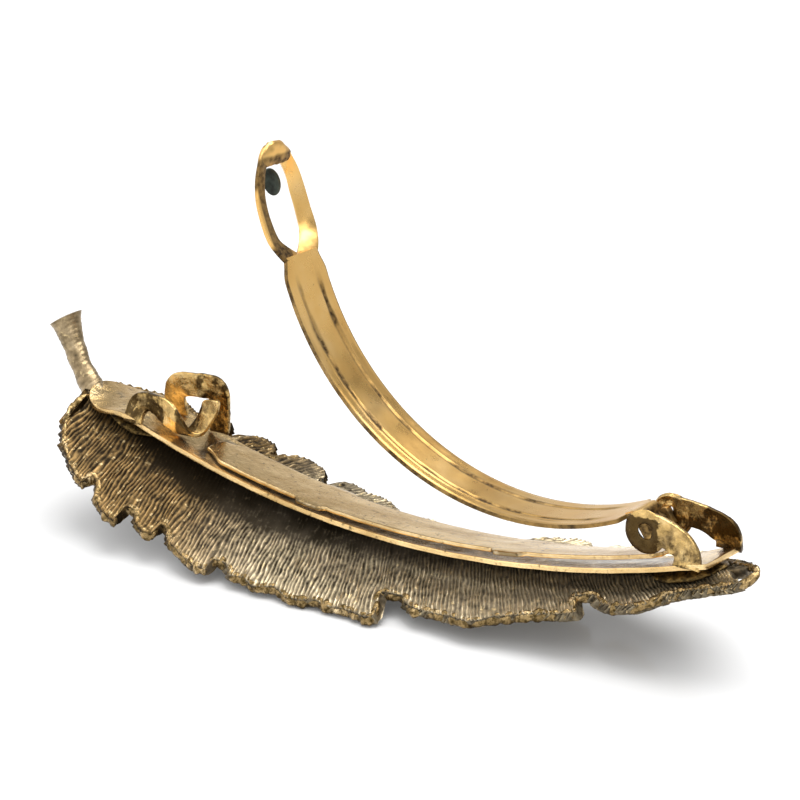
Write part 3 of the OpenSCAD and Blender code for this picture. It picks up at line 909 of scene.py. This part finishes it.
def along_arm(degrees):
    """A point of the arm's bend in metres, as a tuple."""
    x, z = arm_point(np.array(float(degrees)))
    return (float(x) * MM, 0.0, float(z) * MM)


def arm(sizes, material):
    """The arm as three stretches, each of them reaching across one flexing line."""
    turn = ARM_TURN
    stretches = (
        ("arm_strip_root", 0.0, 1.5 * turn, ["arm_root_strip"], "arm_root", "arm_second", turn),
        ("arm_strip_middle", 1.5 * turn, 2.5 * turn, ["arm_second_strip", "arm_third_strip"],
         "arm_second", "arm_third", 2 * turn),
        ("arm_strip_end", 2.5 * turn, 4 * turn, ["arm_end_strip"], "arm_third", "arm_end", 3 * turn),
    )
    reach = 0.5 * turn
    for name, first, last, nodes, before, after, line in stretches:
        bend = (before, after, along_arm(line - reach), along_arm(line + reach))
        arm_strip(name, first, last, sizes, material, nodes, bend)


def hinge_root(material):
    """The bent-down root of the arm between the bosses, and the flat lugs in their holes."""

    def place(u, v):
        x, z = through([(29.2, 9.2), (30.0, 9.6), (30.5, 9.75), (30.7, 9.4), (30.8, 9.0),
                        (31.2, 8.6), (32.0, 8.4)], u).T
        return x, 1.95 * (2 * v - 1), z

    piece = sheet("arm_root_bend", 40, 8, place)
    thicken(piece, 0.5, 1)
    modify(piece, "SMOOTH", factor=0.5, iterations=2)
    # Painted shade where the root dips down between the bosses
    paint(piece, "groove", smooth_step(30.4, 31.0, coordinates(piece)[0]))
    finish(piece, material, [], "arm_root")
    lugs = forged_copy("arm_hinge_lugs", "arm_root_lugs", voxel=0.06, rounds=4)
    reshape(lugs, lambda x, y, z: (x, 0.80 * y, z))
    x, y, z = coordinates(lugs)
    # Painted shade: the lugs dark in the middle of the hinge holes, lighter towards the holes' rims
    paint(lugs, "groove", 0.95 - 0.6 * smooth_step(0.6, 1.0, np.hypot(x - HINGE[0], z - HINGE[1])))
    finish(lugs, material, ["arm_hinge_lugs"], "arm_root", angle=60)


def loop_frame(along, across, up):
    """Loop coordinates to the part frame: along the loop, across it, and towards the hinge."""
    angle = math.radians(LOOP_ANGLE)
    x0, z0 = arm_point(np.array(4 * ARM_TURN))
    x = x0 + along * math.cos(angle) + up * math.sin(angle)
    z = z0 + along * math.sin(angle) - up * math.cos(angle)
    return x, across, z


def loop(sizes, material, dark):
    """The oval loop: two dished rails that part at the neck and meet at the folded tip."""

    # Stations round the near half and back along the far half: along, half width, set forward
    outer = [
        (-0.5, 2.9, 0.0), (0.7, 3.7, -0.1), (2.4, 4.35, -0.3), (4.8, 4.45, -0.4), (7.2, 4.3, -0.3),
        (9.2, 3.8, 0.0), (10.8, 3.0, 0.4), (11.9, 2.3, 0.65), (12.6, 1.4, 0.8), (12.8, 0.0, 0.85),
    ]
    # The near rail lies flat and the far rail dips, so that the catch ears can pass between them
    inner_near = [
        (-0.1, 0.0, -0.6), (1.0, 1.5, -0.5), (2.3, 2.7, -0.45), (4.6, 3.05, -0.5),
        (6.8, 3.05, -0.4), (8.8, 2.7, -0.1), (10.4, 1.8, 0.1), (11.4, 0.0, 0.3),
    ]
    inner_far = [
        (-0.1, 0.0, -0.6), (1.0, 1.5, -1.1), (2.3, 2.75, -1.55), (4.6, 2.95, -1.5),
        (6.8, 2.85, -1.4), (8.8, 2.5, -1.0), (10.4, 1.6, -0.4), (11.4, 0.0, 0.3),
    ]

    def place(u, v):
        half = 1 - np.abs(2 * u - 1)
        side = np.where(u < 0.5, -1.0, 1.0)
        near_side = (u < 0.5)[:, None]
        far = through(outer, half)
        near = np.where(near_side, through(inner_near, half), through(inner_far, half))
        far[:, 1] = np.where(half < 1e-6, 0, far[:, 1])
        row = near + (far - near) * v[:, None]
        lean = 0.12 * row[:, 1] * smooth_step(8.0, 12.5, row[:, 0])
        return loop_frame(row[:, 0] - side * lean, row[:, 1] * side, row[:, 2])

    piece = sheet("arm_loop_rails", 240, 14, place, closed=True)
    thicken(piece, mm(sizes.loop_thickness), 0, bevel=0.1)
    x, y, z = coordinates(piece)
    # Painted shade in the crease at the neck, flecked by noise, and low on the near rail's inner part
    crease = 0.7 * smooth_step(32.0, 31.0, z) * (0.5 + 0.5 * lumps(x, y, z, 0.8, 6))
    inside = 0.9 * smooth_step(-0.9, -1.5, y) * smooth_step(-4.25, -3.95, y)
    paint(piece, "groove", np.clip(crease + inside * smooth_step(42.5, 41, z), 0, 1))
    finish(piece, material, ["arm_loop"], "arm_end", angle=50)

    def cap_place(u, v):
        along = 10.5 + 2.45 * u
        wide = 2.6 - 1.5 * smooth_step(0.35, 1.05, u) + 0.12 * np.sin(6 * u)
        across = wide * (2 * v - 1)
        wave = 0.22 * lumps(across, 0 * u, 0 * u, 0.9, 3) * smooth_step(0.3, 0.0, u)
        swell = 0.45 * smooth_step(0.0, 0.25, u) * smooth_step(1.05, 0.8, u)
        forward = -0.05 + 0.9 * u + swell * (1 - (2 * v - 1) ** 4)
        return loop_frame(along + wave - 0.12 * across * u, across, forward)

    cap = sheet("loop_tip_cap", 40, 40, cap_place)
    thicken(cap, 0.6, 0)
    cap = fuse([cap], "loop_tip_cap", 0.08, 5)
    x, y, z = coordinates(cap)
    # Painted shade along the fold at the cap's lower edge, with dark flecks
    crease = 0.45 * lumps(x, y, z, 0.8, 4) + 0.8 * smooth_step(41.9, 41.4, z)
    paint(cap, "groove", np.clip(crease, 0, 1))
    finish(cap, material, ["loop_tip_fold"], "arm_end", angle=70)

    def tongue_place(u, v):
        turn = 2 * math.pi * v
        polar = math.pi * (u - 0.5)
        along = 8.6 + 1.6 * np.sin(polar)
        across = 1.5 * np.cos(polar) * np.cos(turn) + 0.1
        return loop_frame(along, across, -1.2 + 0.32 * np.cos(polar) * np.sin(turn))

    tongue = sheet("loop_dark_tongue", 40, 40, tongue_place)
    seal(tongue)
    finish(tongue, dark, ["loop_tongue"], "arm_end", angle=70)


# ---------------------------------------------------------------- floor, light and camera


def studio(settings):
    """White floor, soft boxes above and beside, a dark band for the metal to reflect, camera."""
    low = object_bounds()[0][2]
    bpy.ops.object.select_all(action="DESELECT")
    bpy.ops.mesh.primitive_plane_add(size=6.0, location=(0, 0, low - 0.00005))
    floor = bpy.context.object
    floor.name = "studio_floor"
    # Polished acrylic: a soft white mirror
    floor.data.materials.append(surface("white_acrylic_sheet").end(
        Base_Color=colour("D2D2D2"), Roughness=0.12, Specular_IOR_Level=0.5,
        Emission_Color=colour("FFFFFF"), Emission_Strength=settings.floor_glow,
    ))
    floor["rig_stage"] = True

    # The walls are white, with a dark band high up that darkens the upper side of the arm
    world = NodeTree(bpy.data.worlds.new("studio_surround"), "Background", "Generated")
    height = world.add("SeparateXYZ", {0: world.place}, out="Z")
    height = world.add("Math", {0: height, 1: 0.5, 2: 0.5}, operation="MULTIPLY_ADD")
    walls = world.add("ValToRGB", {"Fac": height}, stops=[
        (0.0, 0.9), (0.5, 1.0), (0.68, 1.0), (0.76, 0.30), (0.84, 0.40), (0.92, 1.0), (1.0, 1.0)])
    bpy.context.scene.world = world.end(Color=walls, Strength=settings.surround)

    for name, spot, size, power in (
        ("soft_box_top", (0.05, 0.10, 0.55), 0.55, settings.top_light),
        ("soft_box_left", (-0.45, -0.28, 0.38), 0.85, settings.side_light),
        ("soft_box_right", (0.24, -0.46, 0.46), 0.50, settings.side_light * 0.7),
    ):
        bpy.ops.object.light_add(type="AREA", location=spot)
        lamp = bpy.context.object
        lamp.name = name
        lamp.data.size = size
        lamp.data.energy = power
        towards = Vector((0, 0, 0.01)) - Vector(spot)
        lamp.rotation_euler = towards.to_track_quat("-Z", "Y").to_euler()

    level = math.cos(settings.elevation)
    away = Vector((math.sin(settings.azimuth) * level, -math.cos(settings.azimuth) * level,
                   math.sin(settings.elevation)))
    aim = Vector((-1.79, 0.0, 15.54)) * MM
    bpy.ops.object.camera_add(location=aim + away * settings.distance)
    camera = bpy.context.object
    camera.name = "studio_camera"
    camera.rotation_euler = away.to_track_quat("Z", "Y").to_euler()
    camera.data.sensor_width = 36
    camera.data.lens = settings.lens
    camera.data.clip_start = 0.01
    bpy.context.scene.camera = camera
    bpy.context.scene.view_settings.view_transform = "Standard"


# ---------------------------------------------------------------- the add-on


class BarretteSizes(bpy.types.PropertyGroup):
    """Sizes of the pieces"""

    casting_thickness: bpy.props.FloatProperty(
        name="Casting", description="Thickness of the cast vanes", default=1.05 * MM,
        unit="LENGTH")
    barb_pitch_near: bpy.props.FloatProperty(
        name="Near barbs", description="Spacing of the near vane's barbs", default=0.48 * MM,
        unit="LENGTH")
    barb_pitch_far: bpy.props.FloatProperty(
        name="Far barbs", description="Spacing of the far vane's barbs", default=0.62 * MM,
        unit="LENGTH")
    plate_width: bpy.props.FloatProperty(
        name="Plate width", description="Width of the base plate", default=8.04 * MM,
        unit="LENGTH")
    plate_thickness: bpy.props.FloatProperty(
        name="Plate", description="Thickness of the base plate", default=0.54 * MM,
        unit="LENGTH")
    bar_width: bpy.props.FloatProperty(
        name="Bar width", description="Width of the tension bar between its tabs", default=6.1 * MM,
        unit="LENGTH")
    bar_thickness: bpy.props.FloatProperty(
        name="Bar", description="Thickness of the tension bar", default=0.48 * MM,
        unit="LENGTH")
    ear_thickness: bpy.props.FloatProperty(
        name="Ears", description="Thickness of the folded ears", default=0.55 * MM,
        unit="LENGTH")
    arm_width: bpy.props.FloatProperty(
        name="Arm width", description="Width of the arm", default=7.24 * MM,
        unit="LENGTH")
    arm_thickness: bpy.props.FloatProperty(
        name="Arm", description="Thickness of the arm", default=0.46 * MM,
        unit="LENGTH")
    loop_thickness: bpy.props.FloatProperty(
        name="Loop", description="Thickness of the loop's rails", default=0.5 * MM,
        unit="LENGTH")


class BarretteColours(bpy.types.PropertyGroup):
    """Colours of the plating, of the dirt in it and of the painted shade"""

    casting_ribs: bpy.props.FloatVectorProperty(
        name="Casting, ribs", description="Bare brass on the barbs", default=colour("EFE0C0"),
        size=4, subtype="COLOR", min=0, max=1)
    casting_hollows: bpy.props.FloatVectorProperty(
        name="Casting, hollows", description="Blackening between the barbs", default=colour("2A2418"),
        size=4, subtype="COLOR", min=0, max=1)
    rim_brass: bpy.props.FloatVectorProperty(
        name="Rim", description="Wiped brass of the rim", default=colour("A68C60"),
        size=4, subtype="COLOR", min=0, max=1)
    arm_gold: bpy.props.FloatVectorProperty(
        name="Arm", description="Gold of the arm and the loop", default=colour("E1B66E"),
        size=4, subtype="COLOR", min=0, max=1)
    strip_gold: bpy.props.FloatVectorProperty(
        name="Strips", description="Gold of the base plate and the bar", default=colour("F0CF96"),
        size=4, subtype="COLOR", min=0, max=1)
    strip_wear: bpy.props.FloatVectorProperty(
        name="Strips, worn", description="Rubbed gold of the base plate and the bar",
        default=colour("CBA970"),
        size=4, subtype="COLOR", min=0, max=1)
    ear_gold: bpy.props.FloatVectorProperty(
        name="Ears", description="Gold of the folded ears", default=colour("D0AE70"),
        size=4, subtype="COLOR", min=0, max=1)
    # Colour of the painted shade, and of the dirt with it
    grime_and_shade: bpy.props.FloatVectorProperty(
        name="Grime and shade", description="Dirt in the grooves and the folds", default=colour("33230C"),
        size=4, subtype="COLOR", min=0, max=1)


class StudioSettings(bpy.types.PropertyGroup):
    """The camera and the lights"""

    azimuth: bpy.props.FloatProperty(
        name="Azimuth", description="Camera's turn about the vertical", default=math.radians(35.22),
        subtype="ANGLE")
    elevation: bpy.props.FloatProperty(
        name="Elevation", description="Camera's height above the floor", default=math.radians(19.78),
        subtype="ANGLE")
    distance: bpy.props.FloatProperty(
        name="Distance", description="From the camera to the clip", default=0.2978, unit="LENGTH")
    lens: bpy.props.FloatProperty(name="Lens", description="Focal length in mm", default=118.4)
    surround: bpy.props.FloatProperty(
        name="Surround", description="Brightness of the studio's walls", default=0.86)
    floor_glow: bpy.props.FloatProperty(
        name="Floor glow", description="Light that comes up through the floor", default=0.05)
    top_light: bpy.props.FloatProperty(
        name="Top light", description="Watts of the soft box above", default=4.4)
    side_light: bpy.props.FloatProperty(
        name="Side light", description="Watts of the left soft box, the right has 0.7 of it",
        default=2.2)


class BuildFeather(bpy.types.Operator):
    """Model the cast feather: vanes, rim, shaft and stem"""

    bl_idname = "barrette.feather"
    bl_label = "Feather"

    def execute(self, context):
        sizes, tones = context.scene.barrette_sizes, context.scene.barrette_colours
        cast = antique_plated_zinc_casting(tones)
        bright = wiped_brass_rim(tones)
        vane("feather_vane_near", -1, NEAR_EDGE, NEAR_FALL, 1.0, sizes, cast, "feather_near_vane")
        vane("feather_vane_far", 1, FAR_EDGE, FAR_FALL, 21.0, sizes, cast, "feather_far_vane")
        rim("feather_rim_near", -1, NEAR_EDGE, NEAR_FALL, 31.0, 1.0, bright)
        rim("feather_rim_far", 1, FAR_EDGE, FAR_FALL, 41.0, 0.3, bright)
        shaft(cast)
        stem(cast)
        return {"FINISHED"}


class BuildBase(bpy.types.Operator):
    """Model the base plate, its ears, the tension bar and the solder"""

    bl_idname = "barrette.base"
    bl_label = "Base plate and springs"

    def execute(self, context):
        sizes, tones = context.scene.barrette_sizes, context.scene.barrette_colours
        strip = gilt_strip(tones)
        base_plate(sizes, strip)
        tension_bar(sizes, strip)
        ears(sizes, worn_gilt_sheet(tones))
        solder_pads(plated_solder())
        return {"FINISHED"}


class BuildArm(bpy.types.Operator):
    """Model the sprung arm, its hinge root and its loop"""

    bl_idname = "barrette.arm"
    bl_label = "Arm and loop"

    def execute(self, context):
        sizes = context.scene.barrette_sizes
        steel = gold_plated_spring_steel(context.scene.barrette_colours)
        arm(sizes, steel)
        hinge_root(steel)
        loop(sizes, steel, dark_grey_green())
        return {"FINISHED"}


class BuildStudio(bpy.types.Operator):
    """Set the floor, the lights and the camera"""

    bl_idname = "barrette.studio"
    bl_label = "Studio"

    def execute(self, context):
        studio(context.scene.barrette_studio)
        return {"FINISHED"}


class BarrettePanel(bpy.types.Panel):
    """Sidebar panel with the barrette's steps and settings"""

    bl_idname = "VIEW3D_PT_barrette"
    bl_label = "Feather barrette"
    bl_space_type = "VIEW_3D"
    bl_region_type = "UI"
    bl_category = "Barrette"

    def draw(self, context):
        for step in STEPS:
            self.layout.operator(step.bl_idname)
        for name, group in SETTINGS.items():
            for key in group.__annotations__:
                self.layout.prop(getattr(context.scene, name), key)


STEPS = (BuildFeather, BuildBase, BuildArm, BuildStudio)
SETTINGS = {
    "barrette_sizes": BarretteSizes,
    "barrette_colours": BarretteColours,
    "barrette_studio": StudioSettings,
}
CLASSES = tuple(SETTINGS.values()) + STEPS + (BarrettePanel,)


def register():
    for item in CLASSES:
        bpy.utils.register_class(item)
    for name, group in SETTINGS.items():
        setattr(bpy.types.Scene, name, bpy.props.PointerProperty(type=group))


def unregister():
    for name in SETTINGS:
        delattr(bpy.types.Scene, name)
    for item in reversed(CLASSES):
        bpy.utils.unregister_class(item)


def main():
    register()
    bpy.ops.barrette.feather()
    bpy.ops.barrette.base()
    bpy.ops.barrette.arm()
    bpy.ops.barrette.studio()
    boxes = {"cad": CAD_BOX, "visual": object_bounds()}
    boxes = {key: [list(map(float, corner)) for corner in box] for key, box in boxes.items()}


if __name__ == "__main__":
    main()
